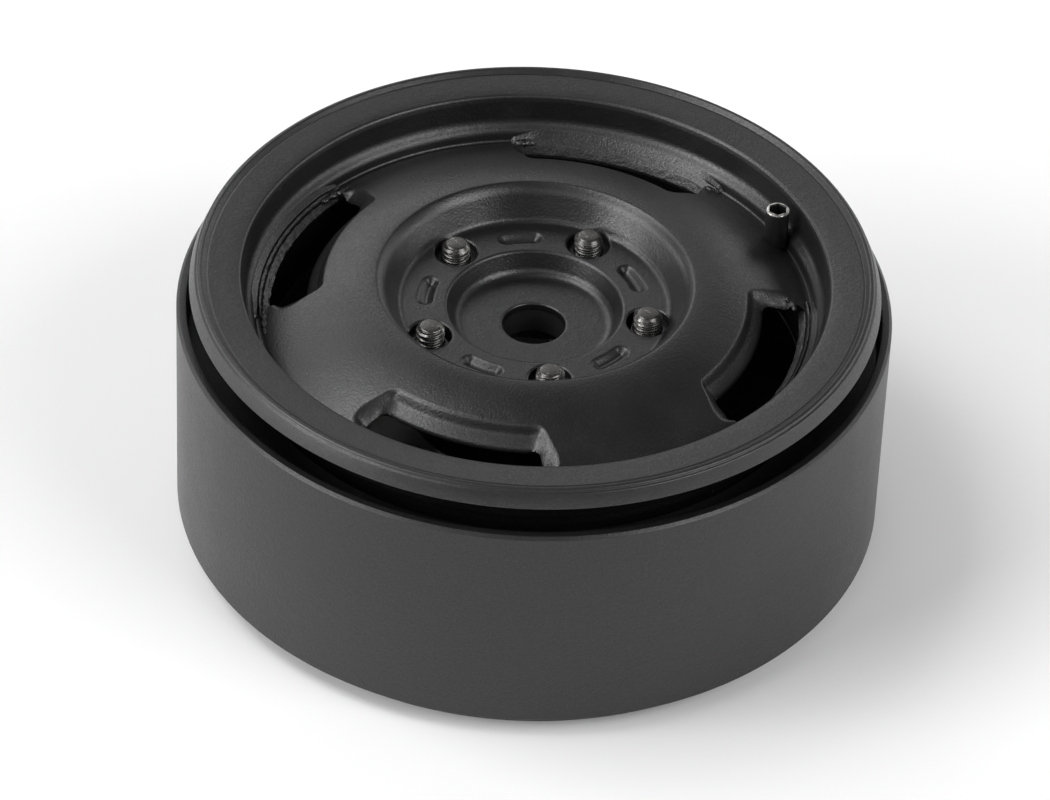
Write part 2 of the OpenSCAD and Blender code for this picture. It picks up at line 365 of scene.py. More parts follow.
def powder_coat(name, tone, rough, grain=1.0, dust=0.006):
    """Satin black paint with a fine orange peel, faint cloudiness and a little dust."""
    n = Nodes(name)
    cloud = n.noise(4.0, 3.0)
    fine = n.noise(0.17, 3.0, 0.6)
    base = n.mix(n.vary(cloud, 0, 1), scaled(tone, 0.3), scaled(tone, 0.7))
    base = n.mix(n.spread(fine, 0.42, 0.7, 0, 1), base, scaled(tone, 2.6))
    base = n.mix(n.specks(0.5, dust, 0.14), base, DUST)
    roughness = n.math("ADD", n.vary(cloud, rough - 0.03, rough + 0.03), n.vary(fine, 0.08, -0.08))
    n.bump([(fine, 0.02 * grain), (n.noise(0.8, 2.0), 0.012 * grain)])
    return n.finish(base, roughness, specular=0.72)


def blasted_anodised(name, tone):
    """Bead-blasted and anodised aluminium: an even fine grain with faint mottling."""
    n = Nodes(name)
    cloud = n.noise(5.0, 4.0, 0.6)
    grain = n.noise(0.11, 2.0, 0.7)
    pits = n.noise(0.28, 2.0, 0.6)
    base = n.mix(n.vary(cloud, 0, 1), scaled(tone, 0.4), scaled(tone, 0.8))
    base = n.mix(n.spread(grain, 0.42, 0.7, 0, 1), base, scaled(tone, 2.4))
    base = n.mix(n.specks(0.5, 0.004, 0.12), base, DUST)
    roughness = n.math("ADD", n.vary(grain, 0.42, 0.32), n.vary(cloud, -0.03, 0.03))
    n.bump([(grain, 0.02), (pits, 0.018)])
    return n.finish(base, roughness, specular=0.55)


def oxide_steel(name, dark, bright, worn, rough=0.38):
    """Black-oxide steel with patches rubbed back to bare metal."""
    n = Nodes(name)
    patch = n.noise(0.5, 4.0, 0.65)
    fine = n.noise(0.07, 2.0, 0.6)
    rubbed = n.spread(patch, 0.62 - worn * 0.3, 0.8 - worn * 0.3, 0, 1)
    base = n.mix(rubbed, dark, bright)
    roughness = n.vary(fine, rough - 0.08, rough + 0.1)
    n.bump([(fine, 0.004), (patch, 0.006)])
    return n.finish(base, roughness, metallic=0.9)


def turned_anodised(name, tone):
    """Machined and black-anodised aluminium, with the rings that a lathe tool leaves."""
    tool_mark = 0.14
    n = Nodes(name)
    parts = n.node("ShaderNodeSeparateXYZ")
    n.link(n.place, parts.inputs[0])
    flat = n.node("ShaderNodeCombineXYZ")
    n.link(parts.outputs[0], flat.inputs[0])
    n.link(parts.outputs[1], flat.inputs[1])
    length = n.node("ShaderNodeVectorMath", operation="LENGTH")
    n.link(flat.outputs[0], length.inputs[0])
    travel = n.math("ADD", length.outputs["Value"], parts.outputs[2])
    ring = n.math("SINE", n.math("MULTIPLY", travel, 2 * math.pi / (tool_mark * MM)), 0)
    cloud = n.noise(2.5, 3.0)
    base = n.mix(n.vary(cloud, 0, 1), scaled(tone, 0.85), scaled(tone, 1.2))
    roughness = n.vary(n.noise(0.1, 2.0), 0.3, 0.45)
    n.bump([(n.spread(ring, -1, 1, 0, 1), 0.0025), (n.noise(0.08, 2.0), 0.002)])
    return n.finish(base, roughness, metallic=0.5)


def valve_paint(name, tone, bare, top_z):
    """The same satin black, rubbed off at the stem's open end."""
    n = Nodes(name)
    parts = n.node("ShaderNodeSeparateXYZ")
    n.link(n.place, parts.inputs[0])
    fine = n.noise(0.12, 3.0, 0.6)
    edge = n.math("ADD", parts.outputs[2], n.vary(fine, -0.05 * MM, 0.05 * MM))
    rubbed = n.spread(n.noise(0.45, 2.0), 0.4, 0.5, 0.15, 1)
    shows = n.math("MULTIPLY", n.spread(edge, (top_z - 0.1) * MM, (top_z - 0.05) * MM, 0, 1), rubbed)
    base = n.mix(shows, tone, bare)
    roughness = n.spread(shows, 0, 1, 0.45, 0.24)
    n.bump([(fine, 0.004)])
    n.finish(base, roughness)
    n.link(shows, n.shader.inputs["Metallic"])
    return n.material


RIM_TONE = (0.005, 0.005, 0.0052)
mat_rim = powder_coat("rim_paint", RIM_TONE, 0.38)
mat_disc = powder_coat("disc_paint", (0.0042, 0.0042, 0.0044), 0.36)
mat_bead = powder_coat("bead_paint", (0.009, 0.009, 0.0093), 0.34, grain=1.4)
mat_rear = powder_coat("rear_rim_paint", RIM_TONE, 0.48)
mat_ring = blasted_anodised("ring_anodised", (0.0065, 0.0065, 0.0066))
mat_hub = turned_anodised("hub_black", (0.03, 0.03, 0.032))
mat_stud = oxide_steel("stud_steel", (0.1, 0.098, 0.095), (0.36, 0.345, 0.32), 0.2, 0.27)
mat_screw = oxide_steel("screw_steel", (0.05, 0.05, 0.052), (0.22, 0.22, 0.22), 0.1, 0.36)
mat_valve = valve_paint("valve_metal", (0.006, 0.006, 0.0062), (0.5, 0.49, 0.47), valve_high.z)


def dress(obj, material, body, slot, *nodes):
    obj.data.materials.clear()
    obj.data.materials.append(material)
    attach(obj, body)
    if nodes:
        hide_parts(*nodes)
    return obj


# ---------------------------------------------------------------- rim halves

def rim_corners():
    """One half in section, measured up from the split plane: (r, z, fillet)."""
    under = HALF - FLANGE_T
    hoop = [(CLAMP_BORE, 0, 0.08), (HOOP_R, 0, 0.06), (HOOP_R, STEP, 0.1)]
    bead_seat = [(SEAT_R, STEP, 0.2), (SEAT_R, under, 0.3)]
    outer_edge = [(FLANGE_R, under, 0.07), (22.31, HALF - 0.26, 0.12), (22.17, HALF - 0.19, 0.08)]
    raised_bead = [(22.12, HALF - 0.03, 0.12), (21.86, HALF, 0.18), (21.56, HALF - 0.28, 0.08)]
    face_lip = [(21.42, HALF - 0.25, 0.12), (20.2, HALF - 0.34, 1.5), (19.3, HALF - 0.41, 0.26)]
    inner_wall = [(19.2, HALF - 0.85, 0.7), (19.04, HALF - 2.4, 0.95)]
    ledges = [
        (18.5, HALF - 2.86, 0.7), (18.4, HALF - 3.5, 0.2),
        (HOOP_BORE + 0.08, HALF - 3.64, 0.1), (HOOP_BORE, HALF - 3.86, 0.08),
    ]
    clamp_flange = [(HOOP_BORE, CLAMP_FLANGE, 0.25), (CLAMP_BORE, CLAMP_FLANGE, 0.08)]
    return [*hoop, *bead_seat, *outer_edge, *raised_bead, *face_lip, *inner_wall, *ledges, *clamp_flange]


def clamp_holes(radius, bottom, top):
    hole = circle_outline(CLAMP_CIRCLE, 0, radius, 40)
    turn = 2 * math.pi / len(SCREWS)
    return joined([prism("hole", turned(hole, i * turn), bottom, top) for i in range(len(SCREWS))])


def make_rims():
    outline = rounded(rim_corners())
    front = revolve("front_rim_shell", [(r, SPLIT_Z + z) for r, z in outline])
    tapped = clamp_holes(CLAMP_TAPPED_R, SPLIT_Z - 1, SPLIT_Z + CLAMP_FLANGE + 1)
    cut(front, joined([tapped, valve_hole(valve_low.z + VALVE_NECK, SPLIT_Z + HALF + 1)]))
    dress(front, mat_rim, "wheel", "rim_paint", "front_rim")
    rear = revolve("rear_rim_shell", [(r, SPLIT_Z - z) for r, z in outline])
    cut(rear, clamp_holes(CLAMP_CLEAR_R, SPLIT_Z - CLAMP_FLANGE - 1, SPLIT_Z + 1))
    dress(rear, mat_rear, "wheel", "rim_paint", "rear_rim")


# ---------------------------------------------------------------- beadlock ring

def make_ring():
    inner = RING_R - RING_WALL
    reach = RING_MIDDLE - (SPLIT_Z - STEP) - FLANK_GAP
    upper = [
        (RING_R, RING_EDGE - RING_CHAMFER, 0.05), (RING_R - RING_CHAMFER, RING_EDGE, 0.05),
        (inner, RING_EDGE, 0.06), (inner, reach, 0.3),
        (FLANK_BORE, reach, 0.1), (FLANK_BORE, reach - FLANK_T, 0.1), (inner, reach - FLANK_T, 0.3),
    ]
    corners = upper + [(r, -z, fillet) for r, z, fillet in reversed(upper)]
    outline = [(r, RING_MIDDLE + z) for r, z in rounded(corners)]
    ring = revolve("beadlock_ring_band", outline, even_angles(360))
    dress(ring, mat_ring, "ring", "ring_anodised", "beadlock_ring")


# ---------------------------------------------------------------- stamped disc

# One window's outline. gain is how many degrees wider each side gets per mm of radius.
Window = namedtuple("Window", "inner_r outer_r half_angle gain inner_corner outer_corner")
FOLD = Window(13.87, 17.25, 21.3, 1.85, 0.5, 1.7)      # where the sheet starts to roll down
OPENING = Window(14.97, 17.85, 20.4, 0.7, 0.5, 0.7)
WINDOW_TURN = 45
WINDOW_TURNS = [math.radians(WINDOW_TURN + 90 * i) for i in range(4)]
WINDOW_WALL_Z = 15.47                   # outside a window the skirt ends at this height

# The rolled edge drops in a step and then a slope along a window's inner side, and smoothly at its ends
ROLL_DEPTH, STEP_SHARE, STEP_WIDTH, SLOPE_POWER = 1.0, 0.36, 0.42, 1.25
END_DEPTH, END_SOFT = 0.68, 0.28
END_NEAR, END_FAR = -0.7, 1.1           # mm from side to end over which one form turns into the other
HEM_DROP, HEM_WIDTH = 0.06, 0.1
ROLL_FADES_FROM = 16.5

SLOT_R, SLOT_HALF, SLOT_WIDTH, SLOT_DEPTH = 7.2, 0.92, 1.3, 0.36
SLOT_FLAT = 0.02
HOLE_EDGE, HOLE_EDGE_DEPTH = 0.14, 0.08
COINED_FROM, COINED_TO = 5.8, 9.3


def side_depth(r, arc_angle, window):
    """How far a point lies inside a window's nearer end, in mm."""
    half = math.radians(window.half_angle + window.gain * (r - window.inner_r))
    return (half - abs(arc_angle)) * r


def sector_depth(r, arc_angle, window):
    """How far a point lies inside a window's rounded outline, in mm; negative outside it."""
    side = side_depth(r, arc_angle, window)
    inner, outer = r - window.inner_r, window.outer_r - r
    near, corner = (inner, window.inner_corner) if inner < outer else (outer, window.outer_corner)
    short_near, short_side = max(corner - near, 0), max(corner - side, 0)
    if short_near or short_side:
        return corner - math.hypot(short_near, short_side)
    return min(near, side)


def nearest(angle, first, count):
    """The angle from the nearest of count evenly spaced directions, the first one at angle first."""
    share = 2 * math.pi / count
    return (angle - first + share / 2) % share - share / 2


def roll_down(r, angle):
    """How far the sheet drops at a point because a window's edge is rolled under."""
    if not FOLD.inner_r < r < FOLD.outer_r:
        return 0.0
    local = nearest(angle, WINDOW_TURNS[0], 4)
    inside = sector_depth(r, local, FOLD)
    if inside <= 0:
        return 0.0
    outside = max(-sector_depth(r, local, OPENING), 0)
    t = inside / (inside + outside)
    at_end = smoothstep(END_NEAR, END_FAR, (r - FOLD.inner_r) - side_depth(r, local, FOLD))
    stepped = STEP_SHARE * smoothstep(0, STEP_WIDTH, t) + (1 - STEP_SHARE) * t ** SLOPE_POWER
    plain = (math.hypot(t, END_SOFT) - END_SOFT) / (math.hypot(1, END_SOFT) - END_SOFT)
    drop = ROLL_DEPTH * stepped * (1 - at_end) + END_DEPTH * plain * at_end
    drop += HEM_DROP * (1 - smoothstep(0, HEM_WIDTH, outside))
    return drop * (1 - smoothstep(ROLL_FADES_FROM, FOLD.outer_r, r))


def coin_depth(r, angle):
    """Depth of the coined slots and the broken edges of the stud holes."""
    if not COINED_FROM < r < COINED_TO:
        return 0.0
    along = abs(nearest(angle, 0, 5)) * SLOT_R
    gap = math.hypot(max(along - SLOT_HALF, 0), r - SLOT_R)
    depth = SLOT_DEPTH * (1 - smoothstep(SLOT_FLAT, SLOT_WIDTH / 2, gap))
    beside = nearest(angle, math.radians(STUD_TURN), 5)
    edge = math.hypot(r * math.cos(beside) - STUD_CIRCLE, r * math.sin(beside)) - STUD_HOLE_R
    if edge < HOLE_EDGE:
        depth += HOLE_EDGE_DEPTH * (1 - max(edge, 0) / HOLE_EDGE) ** 2
    return depth


def resample(points, step_at):
    """Points along a polyline, step_at(r) mm apart."""
    out = [points[0]]
    for a, b in zip(points, points[1:]):
        length = math.dist(a, b)
        pieces = max(1, round(length / step_at((a[0] + b[0]) / 2)))
        out += [(a[0] + (b[0] - a[0]) * k / pieces, a[1] + (b[1] - a[1]) * k / pieces)
                for k in range(1, pieces + 1)]
    return out


def arc_points(cx, cz, radius, a0, a1, steps):
    return [(cx + radius * math.cos(math.radians(a0 + (a1 - a0) * k / steps)),
             cz + radius * math.sin(math.radians(a0 + (a1 - a0) * k / steps))) for k in range(steps + 1)]


BOWL_FOOT, BOWL_SLOPE, SHOULDER_SLOPE = 8.62, 62.0, 32.0
FOOT_ROUND, SHOULDER_ROUND, RIDGE_ROUND = 0.5, 1.6, 0.35      # radii from the foot up to the ridge


def rise(slope):
    """How high an arc of radius 1 climbs from level to a slope."""
    return 1 - math.cos(math.radians(slope))


def run(slope):
    """How far across an arc of radius 1 goes from level to a slope."""
    return math.sin(math.radians(slope))


def bowl_points():
    """The bowl's side in section: foot, steep wall, shoulder and ridge."""
    shoulder_rise = SHOULDER_ROUND * (rise(BOWL_SLOPE) - rise(SHOULDER_SLOPE))
    curved = FOOT_ROUND * rise(BOWL_SLOPE) + shoulder_rise + RIDGE_ROUND * rise(SHOULDER_SLOPE)
    wall = RIDGE_Z - STUD_RING_Z - curved
    points = arc_points(BOWL_FOOT, STUD_RING_Z + FOOT_ROUND, FOOT_ROUND, -90, BOWL_SLOPE - 90, 6)
    r, z = points[-1]
    r, z = r + wall / math.tan(math.radians(BOWL_SLOPE)), z + wall
    centre = (r + SHOULDER_ROUND * run(BOWL_SLOPE), z - SHOULDER_ROUND * (1 - rise(BOWL_SLOPE)))
    points += arc_points(*centre, SHOULDER_ROUND, 90 + BOWL_SLOPE, 90 + SHOULDER_SLOPE, 9)
    r, z = points[-1]
    centre = (r + RIDGE_ROUND * run(SHOULDER_SLOPE), RIDGE_Z - RIDGE_ROUND)
    points += arc_points(*centre, RIDGE_ROUND, 90 + SHOULDER_SLOPE, 90, 5)[1:]
    return points


FALL_FROM, FALL, FALL_RUN, FALL_POWER = 10.5, 2.55, 7.45, 1.6
SKIRT_ROUND, SKIRT_SLOPE, SKIRT_CHAMFER = 0.22, 58.0, 0.06
BORE_ROUND = 0.14
RECESS_ROUND, RECESS_FOOT, RECESS_LEAN = 0.75, 4.66, -16      # the side leans out at its top
STUD_RING_R, STUD_RING_ROUND = 5.95, 0.25                     # the stud ring's inner edge
RECESS_BACK_R = 6.3
BACK_BEND = 0.1
FINE_STEP, COARSE_STEP, BACK_STEP = 0.055, 0.11, 0.26
FINE_BANDS = ((5.5, 9.4), (13.8, 14.4))                       # slots and holes; the windows' folds


def slope_z(r):
    """Height of the face outside the ridge, where it falls off towards the rim."""
    return RIDGE_Z - FALL * (max(r - FALL_FROM, 0) / FALL_RUN) ** FALL_POWER


def face_step(r):
    return FINE_STEP if any(low < r < high for low, high in FINE_BANDS) else COARSE_STEP


def skirt_bend():
    """Where the face turns down into the skirt: the bend's first radius, and its centre."""
    end = SKIRT_R - SKIRT_ROUND * rise(SKIRT_SLOPE)
    return end, (SKIRT_R - SKIRT_ROUND, slope_z(end) - SKIRT_ROUND * run(SKIRT_SLOPE))


def disc_face():
    """The face in section, from the axle bore to the foot of the skirt."""
    end, corner = skirt_bend()
    points = [(AXLE_R, FLOOR_Z - BORE_ROUND)]
    points += arc_points(AXLE_R + BORE_ROUND, FLOOR_Z - BORE_ROUND, BORE_ROUND, 180, 90, 4)[1:]
    points += arc_points(RECESS_FOOT, FLOOR_Z + RECESS_ROUND, RECESS_ROUND, -90, RECESS_LEAN, 9)
    points += arc_points(STUD_RING_R, STUD_RING_Z - STUD_RING_ROUND, STUD_RING_ROUND,
                         180 + RECESS_LEAN, 90, 6)
    points += bowl_points()
    points += [(r, slope_z(r)) for r in np.linspace(max(points[-1][0], FALL_FROM) + 0.1, end, 60)]
    points += arc_points(*corner, SKIRT_ROUND, SKIRT_SLOPE, 0, 5)[1:]
    points += [(SKIRT_R, SKIRT_BOTTOM + SKIRT_CHAMFER), (SKIRT_R - SKIRT_CHAMFER, SKIRT_BOTTOM)]
    return resample(points, face_step)


def disc_back():
    """The rear side in section, from the skirt back to the axle bore: the face less the sheet."""
    end, corner = skirt_bend()
    inside = SKIRT_R - SHEET
    points = [(inside + SKIRT_CHAMFER, SKIRT_BOTTOM), (inside, SKIRT_BOTTOM + SKIRT_CHAMFER)]
    points += arc_points(inside - BACK_BEND, corner[1] - SHEET * 0.8, BACK_BEND, 0, 62, 3)
    fall = np.linspace(end - 0.45, FALL_FROM + 0.5, 40)
    points += [(r - SHEET * 0.3, slope_z(r) - SHEET) for r in fall]
    slope = math.radians(BOWL_SLOPE)
    wall = [(r, z) for r, z in bowl_points() if STUD_RING_Z + 0.2 < z < RIDGE_Z - 0.5]
    points += [(r + SHEET * math.sin(slope), z - SHEET * math.cos(slope)) for r, z in (wall[-1], wall[0])]
    points += [(BOWL_FOOT, STUD_RING_Z - SHEET), (RECESS_BACK_R, STUD_RING_Z - SHEET)]
    points += [(RECESS_BACK_R, FLOOR_Z - SHEET), (AXLE_R, FLOOR_Z - SHEET)]
    return resample(points, lambda r: BACK_STEP)


def disc_angles():
    """Steps round the disc, finer where the ends of the windows roll down."""
    angles = []
    # From, to and step, in degrees from a window's middle
    stops = ((-45, -28, 0.55), (-28, -17, 0.18), (-17, 17, 0.5), (17, 28, 0.18), (28, 45, 0.55))
    for centre in WINDOW_TURNS:
        for low, high, step in stops:
            count = round((high - low) / step)
            angles += [centre + math.radians(low + (high - low) * k / count) for k in range(count)]
    return angles


def end_angle(r):
    """Half the opening's angle at a radius, found by halving."""
    low, high = 0.0, 0.7
    for _ in range(30):
        middle = (low + high) / 2
        inside = sector_depth(r, middle, OPENING) > 0
        low, high = (middle, high) if inside else (low, middle)
    return low


def window_outline():
    """The opening of one window, centred on the X axis."""
    inner_r, outer_r, steps = OPENING.inner_r, OPENING.outer_r, 60
    ends = [(r, end_angle(r)) for r in np.linspace(inner_r + 0.001, outer_r - 0.001, steps)]
    ends = [(r, half) for r, half in ends if half > 0.02]
    right = [(r * math.cos(half), -r * math.sin(half)) for r, half in ends]
    left = [(r * math.cos(half), r * math.sin(half)) for r, half in ends]
    first, last = (math.atan2(y, x) for x, y in (left[0], left[-1]))
    outer = [polar(outer_r, a) for a in np.linspace(-last, last, steps)[1:-1]]
    inner = [polar(inner_r, a) for a in np.linspace(first, -first, steps)[1:-1]]
    return right + outer + left[::-1] + inner


EDGE_SPREAD, EDGE_DEPTH = 0.9, 1.2      # the cutter is this much wider this far behind the sheet
SPREAD_FROM, SPREAD_TO = 16.6, 17.3     # radii over which it stops being wider
CUT_BELOW = 0.02                        # the edge starts just under the face


def window_cutter(turn):
    """The opening, widening below the rolled sheet so that its cut edge is square to the sheet."""
    outline = window_outline()
    n = len(outline)
    behind, edge = [], []
    for k, (x, y) in enumerate(outline):
        r = math.hypot(x, y)
        along = (Vector(outline[(k + 1) % n]) - Vector(outline[k - 1])).normalized()
        widen = EDGE_SPREAD * (1 - smoothstep(SPREAD_FROM, SPREAD_TO, r))
        edge_z = slope_z(r) - roll_down(r, math.atan2(y, x) + WINDOW_TURNS[0]) - CUT_BELOW
        behind.append((x + along.y * widen, y - along.x * widen, edge_z - EDGE_DEPTH))
        edge.append((x, y, edge_z))
    floor = [(x, y, BELOW) for x, y, _ in behind]
    roof = [(x, y, ABOVE) for x, y in outline]
    verts = [(*turned([(x, y)], turn)[0], z) for x, y, z in [*floor, *behind, *edge, *roof]]
    faces = [list(range(n))[::-1], list(range(3 * n, 4 * n))]
    for base in (0, n, 2 * n):
        faces += [(base + k, base + (k + 1) % n, base + n + (k + 1) % n, base + n + k) for k in range(n)]
    return new_object("hole", verts, faces)


def sector(inner_r, outer_r, half, steps):
    """The (x, y) outline of a piece of a ring, centred on the X axis."""
    sweep = [math.radians(-half + 2 * half * k / steps) for k in range(steps + 1)]
    return [polar(outer_r, a) for a in sweep] + [polar(inner_r, a) for a in reversed(sweep)]


def skirt_cutter(turn):
    """The room under the short piece of skirt outside one window, with a rough top."""
    rough, grain = 0.1, 0.4
    outline = sector(OPENING.outer_r - 0.3, SKIRT_R + 0.2, 22.0, 90)
    cutter = prism("hole", turned(outline, turn), SKIRT_BOTTOM - 1, WINDOW_WALL_Z)
    for v in cutter.data.vertices:
        if v.co.z > SKIRT_BOTTOM * MM:
            v.co.z += rough * noise.noise(v.co / (grain * MM)) * MM
    return cutter


SHEET_EDGE_ANGLE = 50


def stud_holes(hole, bottom, top):
    """The same hole at each of the five studs."""
    turns = [math.radians(STUD_TURN + 72 * i) for i in range(len(STUDS))]
    return [prism("hole", turned(hole, turn), bottom, top) for turn in turns]


def make_disc():
    face, back = disc_face(), disc_back()
    count = len(face)

    def press(r, angle, z, index):
        drop = roll_down(r, angle)
        if index < count:
            drop += coin_depth(r, angle)
        return r, z - drop

    disc = revolve("stamped_disc", face + back, disc_angles(), press)
    cut(disc, joined([window_cutter(turn) for turn in WINDOW_TURNS]), SHEET_EDGE_ANGLE)
    cut(disc, joined([skirt_cutter(turn) for turn in WINDOW_TURNS]), SHEET_EDGE_ANGLE)
    holes = stud_holes(circle_outline(STUD_CIRCLE, 0, STUD_HOLE_R, 72), BELOW, ABOVE)
    holes.append(valve_hole(valve_low.z + VALVE_NECK, ABOVE))
    cut(disc, joined(holes), SHEET_EDGE_ANGLE)
    dress(disc, mat_disc, "wheel", "disc_paint", "wheel_disc")


# ---------------------------------------------------------------- joint between disc and rim

# Rough spots at the windows' outer corners: window's angle, angle from its middle, radius, height
# above the sheet, then the spot's size along, across and upwards
SPOTS = [
    (135, 23.0, 17.72, 0.03, 0.5, 0.24, 0.22), (135, 25.0, 17.8, 0.03, 0.62, 0.22, 0.19),
    (135, 27.2, 17.84, 0.02, 0.5, 0.19, 0.16), (135, 29.0, 17.88, 0.0, 0.34, 0.14, 0.11),
    (135, -20.8, 17.6, 0.0, 0.42, 0.26, 0.2), (135, -22.4, 17.4, 0.0, 0.4, 0.22, 0.18),
    (135, -19.0, 17.74, 0.0, 0.5, 0.2, 0.16), (135, -24.4, 17.5, -0.02, 0.3, 0.16, 0.12),
    (225, -21.0, 16.95, -0.18, 0.22, 0.2, 0.16), (225, -22.6, 17.35, -0.1, 0.3, 0.2, 0.16),
    (315, 21.2, 17.1, -0.2, 0.3, 0.17, 0.16), (315, 23.4, 16.7, -0.2, 0.26, 0.16, 0.13),
    (315, -23.0, 17.6, -0.05, 0.34, 0.2, 0.15), (45, 22.4, 17.72, 0.05, 0.42, 0.26, 0.2),
    (45, 20.4, 17.7, 0.02, 0.36, 0.2, 0.18), (45, -22.5, 17.7, 0.02, 0.36, 0.2, 0.16),
]
# The rough wall at each window's outer side, where the sheet was joined to the rim: sections as
# (radius, height) corners, then the window's angle, its section and how uneven it is
ONE_SLOPE = (
    (18.6, 16.3), (17.6, 15.5), (17.4, 15.6), (17.42, 15.78), (17.8, 16.38), (18.1, 16.67),
    (18.75, 17.11), (18.75, 16.9),
)
TWO_STRIPS = (
    (18.6, 16.3), (17.6, 15.8), (17.42, 15.94), (17.4, 16.1), (17.82, 16.4), (17.87, 16.33),
    (17.92, 16.37), (17.93, 16.52), (18.08, 16.64), (18.13, 16.46), (18.18, 16.48), (18.19, 16.7),
    (18.75, 17.11), (18.75, 16.9),
)
WALLS = (
    (45, ONE_SLOPE, 0.012), (135, TWO_STRIPS, 0.035),
    (225, TWO_STRIPS, 0.02), (315, TWO_STRIPS, 0.02),
)
WALL_HALF, WALL_ROWS = 26.0, 340        # degrees each way from a window's middle, and rows in all
WALL_TAPER, WALL_THINNEST = 2.5, 0.08   # degrees over which an end thins out, and its last share
WALL_SINK, WALL_SINK_SPAN = 0.4, 8      # the ends sink into the rim by this many mm over these degrees
SINK_FROM, SINK_TO = 18.0, 18.2         # radii over which the sinking starts
SMOOTH_FROM, SMOOTH_TO = 18.07, 18.17   # the wall is rough inside these radii and smooth outside them


def lumpy(*seed):
    """A repeatable irregular number between -1 and 1."""
    wave = math.sin(sum((k + 1) * 1.7 * v for k, v in enumerate(seed)))
    return wave * math.cos(seed[0] * 2.3 + seed[-1] * 0.9)


def spot_mesh(window, away, radius, lift, along, across, height, verts, faces):
    """A small lump on the sheet: an ellipsoid with an uneven surface."""
    centre = math.radians(window + away)
    c, s = math.cos(centre), math.sin(centre)
    rows, steps, start = 9, 16, len(verts)
    for i in range(rows):
        tilt = math.pi * (i + 0.5) / rows
        for k in range(steps):
            a = 2 * math.pi * k / steps
            lump = lumpy(3.1 * math.cos(a) * math.sin(tilt), 2.7 * math.sin(a), away, 2.2 * tilt)
            swell = 1 + 0.22 * lump
            t = along * swell * math.cos(a) * math.sin(tilt)
            o = across * swell * math.sin(a) * math.sin(tilt)
            z = slope_z(radius) + lift + height * swell * math.cos(tilt)
            verts.append(((radius + o) * c - t * s, (radius + o) * s + t * c, z))
    for i in range(rows - 1):
        for k in range(steps):
            m = (k + 1) % steps
            p, q = start + i * steps, start + (i + 1) * steps
            faces.append((p + k, p + m, q + m, q + k))
    faces.append([start + k for k in range(steps)])
    faces.append([start + (rows - 1) * steps + k for k in range(steps)][::-1])


def wall_noise(angle, r, z, window):
    """How far a wall's surface is moved outwards and upwards at a place, as shares of its unevenness."""
    middle_r, long_grain, short_grain = 18, 0.5, 0.3
    place = Vector((angle * middle_r / long_grain, r / short_grain, z / short_grain + window))
    out = noise.noise(place) + 0.7 * noise.noise(place * 2.8)
    return out, 0.8 * noise.noise(place + Vector((31, 7, 13)))


def wall_mesh(window, section, uneven, verts, faces):
    """A rough wall swept along one window's outer side, thinning out at both ends."""
    outline = resample([*section, section[0]], lambda r: 0.06)[:-1]
    anchor = Vector(outline[0])
    n, start = len(outline), len(verts)
    for i in range(WALL_ROWS):
        away = -WALL_HALF + 2 * WALL_HALF * i / (WALL_ROWS - 1)
        to_end = WALL_HALF - abs(away)
        angle = math.radians(window + away)
        body = max(smoothstep(0, WALL_TAPER, to_end), WALL_THINNEST)
        sink = WALL_SINK * (1 - smoothstep(0, WALL_SINK_SPAN, to_end))
        for r, z in outline:
            free = (1 - smoothstep(SMOOTH_FROM, SMOOTH_TO, r)) * uneven * body
            out, up = wall_noise(angle, r, z, window)
            r = anchor.x + (r - anchor.x) * body + free * out
            z = anchor.y + (z - anchor.y) * body + free * up
            z -= sink * smoothstep(SINK_FROM, SINK_TO, r)
            verts.append((*polar(r, angle), z))
    for i in range(WALL_ROWS - 1):
        for k in range(n):
            m = (k + 1) % n
            p, q = start + i * n, start + (i + 1) * n
            faces.append((p + k, q + k, q + m, p + m))
    faces.append([start + k for k in range(n)])
    faces.append([start + (WALL_ROWS - 1) * n + k for k in range(n)][::-1])


def make_seam_paint():
    """The paint that fills the corner between the disc's edge and the rim's lower ledge."""
    underside = [(17.9, 16.05), (18.3, 16.05)]
    top = [(18.32, 16.24), (18.2, 16.24), (18.1, 16.275), (18.02, 16.32), (17.93, 16.385)]
    waviness, gap_bottom, stem_bottom = 0.008, 15, 14

    def uneven(r, angle, z, index):
        if index < len(underside):
            return r, z
        return r, z + waviness * lumpy(angle * 23, angle * 9, angle * 41)

    seam = revolve("disc_seam_paint", underside + top, even_angles(360), uneven)
    gap = sector(17.6, 18.6, 21.5, 40)           # the seam stays open outside each window
    gaps = [prism("hole", turned(gap, turn), gap_bottom, ABOVE) for turn in WINDOW_TURNS]
    cut(seam, joined([valve_hole(stem_bottom, ABOVE), *gaps]))
    dress(seam, mat_rim, "wheel", "disc_paint")


def make_joint():
    verts, faces = [], []
    for spot in SPOTS:
        spot_mesh(*spot, verts, faces)
    for wall in WALLS:
        wall_mesh(*wall, verts, faces)
    joint = new_object("disc_joint_walls", verts, faces, 60)
    dress(joint, mat_bead, "wheel", "disc_paint")


# ---------------------------------------------------------------- hub

